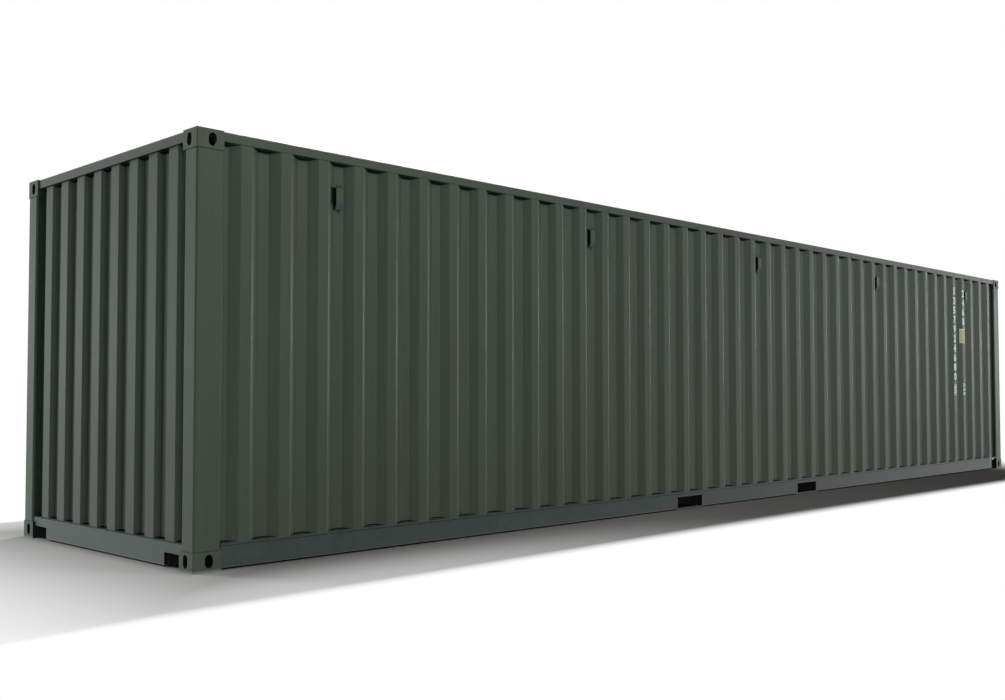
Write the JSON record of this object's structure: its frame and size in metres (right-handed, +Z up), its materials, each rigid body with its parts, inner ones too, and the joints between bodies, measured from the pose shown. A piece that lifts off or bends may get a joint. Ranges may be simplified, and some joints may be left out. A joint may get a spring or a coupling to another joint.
{
  "type": "shipping container",
  "caption": "Long closed steel freight container with corrugated walls, cast corner fittings, fork pockets, small side vents and two hinged end doors with locking bars.",
  "frame": {"origin": "centre of the bounding box, on the ground under the bottom corner fittings", "axes": "+X along the length towards the doors, +Y across towards the right side as seen by someone who faces the doors, +Z up"},
  "size_m": [12.192, 2.438, 2.591],
  "materials": {
    "paint": "satin",
    "castings": "satin",
    "underframe": "matte",
    "door_gear": "matte",
    "plywood": "matte",
    "rubber": "matte"
  },
  "bodies": {
    "root": {"bar_guides": "door_gear", "bottom_rail_left": "paint", "bottom_rail_right": "paint", "cam_keepers": "door_gear", "cross_members": "underframe", "door_frame_left": "paint", "door_frame_right": "paint", "door_gasket_left": "rubber", "door_gasket_right": "rubber", "door_handles": "door_gear", "door_panel_left": "paint", "door_panel_right": "paint", "fitting_front_left_bottom": "castings", "fitting_front_left_top": "castings", "fitting_front_right_bottom": "castings", "fitting_front_right_top": "castings", "fitting_rear_left_bottom": "castings", "fitting_rear_left_top": "castings", "fitting_rear_right_bottom": "castings", "fitting_rear_right_top": "castings", "floor_boards": "plywood", "fork_tunnels": "underframe", "front_header": "paint", "front_post_left": "paint", "front_post_right": "paint", "front_sill": "paint", "front_wall": "paint", "handle_catches": "door_gear", "hinge_blades": "paint", "hinge_lugs": "paint", "hinge_pins": "door_gear", "locking_bars": "door_gear", "pocket_straps": "underframe", "rear_header": "paint", "rear_post_left": "paint", "rear_post_right": "paint", "rear_sill": "paint", "roof_corner_plates": "paint", "roof_sheet": "paint", "side_wall_left": "paint", "side_wall_right": "paint", "top_rail_left": "paint", "top_rail_right": "paint", "vents_left": "paint", "vents_right": "paint"}
  },
  "joints": []
}
